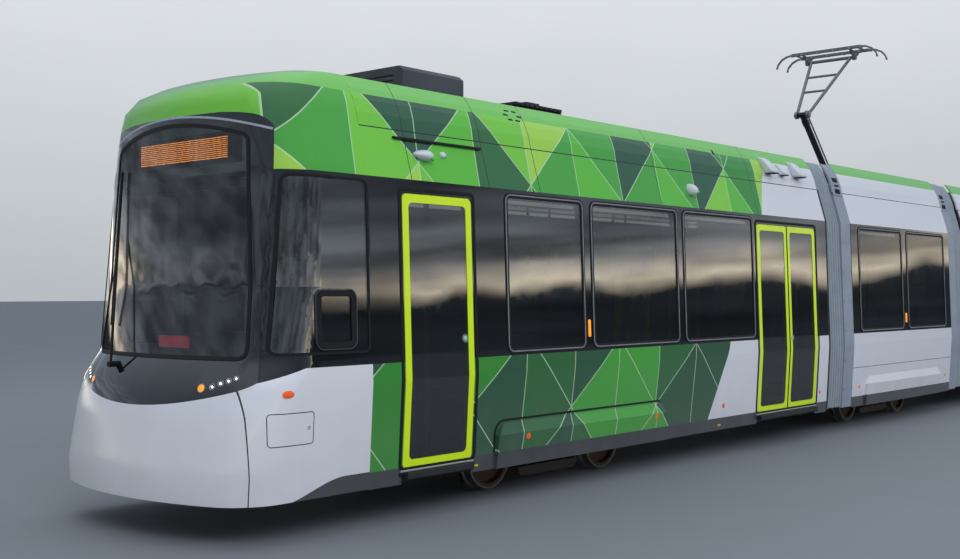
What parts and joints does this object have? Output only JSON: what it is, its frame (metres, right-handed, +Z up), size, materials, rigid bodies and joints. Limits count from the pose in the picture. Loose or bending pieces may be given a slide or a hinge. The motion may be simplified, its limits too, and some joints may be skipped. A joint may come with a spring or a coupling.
{
  "type": "articulated low-floor tram",
  "caption": "Double-ended low-floor tram of long end modules hinged to a short centre module, with turning bogies and wheelsets and a raised pantograph.",
  "frame": {"origin": "centre of the tram on the floor, level with the wheel flanges' lowest points", "axes": "+X along the tram towards the rear cab, +Y across, to the right of a driver in the front cab, +Z up"},
  "size_m": [24.98, 2.6736, 5.7178],
  "materials": {
    "body_paint": "satin",
    "floor": "matte",
    "skirt_paint": "satin",
    "sill_metal": "brushed",
    "nose_paint": "gloss",
    "mask_black": "gloss",
    "side_paint": "gloss",
    "screen_glass": "gloss",
    "roof_paint": "gloss",
    "window_glass": "gloss",
    "door_black": "gloss",
    "cab_plastic": "matte",
    "seat_fabric": "matte",
    "roof_gear": "matte",
    "lamp_lens": "gloss",
    "frame_grey": "matte",
    "rubber_black": "matte",
    "bellows_cloth": "matte",
    "portal_paint": "satin",
    "bogie_paint": "matte",
    "wheel_steel": "worn",
    "panto_steel": "satin",
    "panto_black": "satin",
    "panto_grey": "satin",
    "strip_metal": "brushed"
  },
  "bodies": {
    "centre_module": {"centre_portals": "portal_paint", "centre_roof": "body_paint", "centre_roof_gear": "roof_gear", "centre_seats": "seat_fabric", "centre_side_glass": "window_glass", "centre_side_walls": "body_paint", "centre_skirts": "skirt_paint", "centre_underframe": "floor", "panto_base": "panto_steel"},
    "front_module": {"front_bellows": "bellows_cloth", "front_cab_interior": "cab_plastic", "front_cab_mask": "mask_black", "front_cab_roof": "roof_paint", "front_cab_sides": "side_paint", "front_door_sills": "sill_metal", "front_doors": "door_black", "front_gangway_frame": "frame_grey", "front_headlamps": "lamp_lens", "front_nose": "nose_paint", "front_roof": "body_paint", "front_roof_gear": "roof_gear", "front_seats": "seat_fabric", "front_side_glass": "window_glass", "front_side_walls": "body_paint", "front_skirts": "skirt_paint", "front_underframe": "floor", "front_windscreen": "screen_glass", "front_wiper": "rubber_black"},
    "rear_module": {"rear_bellows": "bellows_cloth", "rear_cab_interior": "cab_plastic", "rear_cab_mask": "mask_black", "rear_cab_roof": "roof_paint", "rear_cab_sides": "side_paint", "rear_door_sills": "sill_metal", "rear_doors": "door_black", "rear_gangway_frame": "frame_grey", "rear_headlamps": "lamp_lens", "rear_nose": "nose_paint", "rear_roof": "body_paint", "rear_roof_gear": "roof_gear", "rear_seats": "seat_fabric", "rear_side_glass": "window_glass", "rear_side_walls": "body_paint", "rear_skirts": "skirt_paint", "rear_underframe": "floor", "rear_windscreen": "screen_glass", "rear_wiper": "rubber_black"},
    "centre_bogie": {"centre_bogie_frame": "bogie_paint"},
    "centre_wheelset_1": {"centre_wheelset_1": "wheel_steel"},
    "centre_wheelset_2": {"centre_wheelset_2": "wheel_steel"},
    "front_bogie": {"front_bogie_frame": "bogie_paint"},
    "front_wheelset_1": {"front_wheelset_1": "wheel_steel"},
    "front_wheelset_2": {"front_wheelset_2": "wheel_steel"},
    "panto_guide_rod": {"panto_guide_rod": "panto_grey"},
    "panto_head": {"panto_head": "strip_metal"},
    "panto_lower_arm": {"panto_lower_arm": "panto_black"},
    "panto_upper_arm": {"panto_upper_arm": "panto_grey"},
    "rear_bogie": {"rear_bogie_frame": "bogie_paint"},
    "rear_wheelset_1": {"rear_wheelset_1": "wheel_steel"},
    "rear_wheelset_2": {"rear_wheelset_2": "wheel_steel"}
  },
  "joints": [
    {"name": "front_articulation", "type": "hinge", "parent": "centre_module", "child": "front_module", "pos_m": [-2.4, 0, 0.368], "axis": [0, 0, 1], "range_deg": [-15, 15], "deforming": ["front_bellows"]},
    {"name": "rear_articulation", "type": "hinge", "parent": "centre_module", "child": "rear_module", "pos_m": [2.4, 0, 0.368], "axis": [0, 0, 1], "range_deg": [-15, 15], "deforming": ["rear_bellows"]},
    {"name": "front_bogie_yaw", "type": "hinge", "parent": "front_module", "child": "front_bogie", "pos_m": [-8.04, 0, 0.328], "axis": [0, 0, 1], "range_deg": [-5, 5]},
    {"name": "front_wheelset_1_spin", "type": "hinge", "parent": "front_bogie", "child": "front_wheelset_1", "pos_m": [-8.965, 0, 0.328], "axis": [0, 1, 0], "continuous": true},
    {"name": "front_wheelset_2_spin", "type": "hinge", "parent": "front_bogie", "child": "front_wheelset_2", "pos_m": [-7.115, 0, 0.328], "axis": [0, 1, 0], "continuous": true},
    {"name": "centre_bogie_yaw", "type": "hinge", "parent": "centre_module", "child": "centre_bogie", "pos_m": [0, 0, 0.328], "axis": [0, 0, 1], "range_deg": [-5, 5]},
    {"name": "centre_wheelset_1_spin", "type": "hinge", "parent": "centre_bogie", "child": "centre_wheelset_1", "pos_m": [-0.925, 0, 0.328], "axis": [0, 1, 0], "continuous": true},
    {"name": "centre_wheelset_2_spin", "type": "hinge", "parent": "centre_bogie", "child": "centre_wheelset_2", "pos_m": [0.925, 0, 0.328], "axis": [0, 1, 0], "continuous": true},
    {"name": "rear_bogie_yaw", "type": "hinge", "parent": "rear_module", "child": "rear_bogie", "pos_m": [8.04, 0, 0.328], "axis": [0, 0, 1], "range_deg": [-5, 5]},
    {"name": "rear_wheelset_1_spin", "type": "hinge", "parent": "rear_bogie", "child": "rear_wheelset_1", "pos_m": [7.115, 0, 0.328], "axis": [0, 1, 0], "continuous": true},
    {"name": "rear_wheelset_2_spin", "type": "hinge", "parent": "rear_bogie", "child": "rear_wheelset_2", "pos_m": [8.965, 0, 0.328], "axis": [0, 1, 0], "continuous": true},
    {"name": "panto_raise", "type": "hinge", "parent": "centre_module", "child": "panto_lower_arm", "pos_m": [0.3, 0, 3.608], "axis": [0, 1, 0], "range_deg": [-38, 8]},
    {"name": "panto_knee", "type": "hinge", "parent": "panto_lower_arm", "child": "panto_upper_arm", "pos_m": [-0.7, 0, 4.598], "axis": [0, 1, 0], "range_deg": [-16, 76]},
    {"name": "panto_head_level", "type": "hinge", "parent": "panto_upper_arm", "child": "panto_head", "pos_m": [0.29, 0, 5.578], "axis": [0, 1, 0], "range_deg": [-38, 8]},
    {"name": "panto_guide_rod_turn", "type": "hinge", "parent": "centre_module", "child": "panto_guide_rod", "pos_m": [0.43, 0, 3.67], "axis": [0, 1, 0], "range_deg": [-38, 8]}
  ],
  "couplings": [
    {"joint": "panto_knee", "follows": "panto_raise", "ratio": -2},
    {"joint": "panto_head_level", "follows": "panto_raise", "ratio": 1},
    {"joint": "panto_guide_rod_turn", "follows": "panto_raise", "ratio": 1}
  ]
}
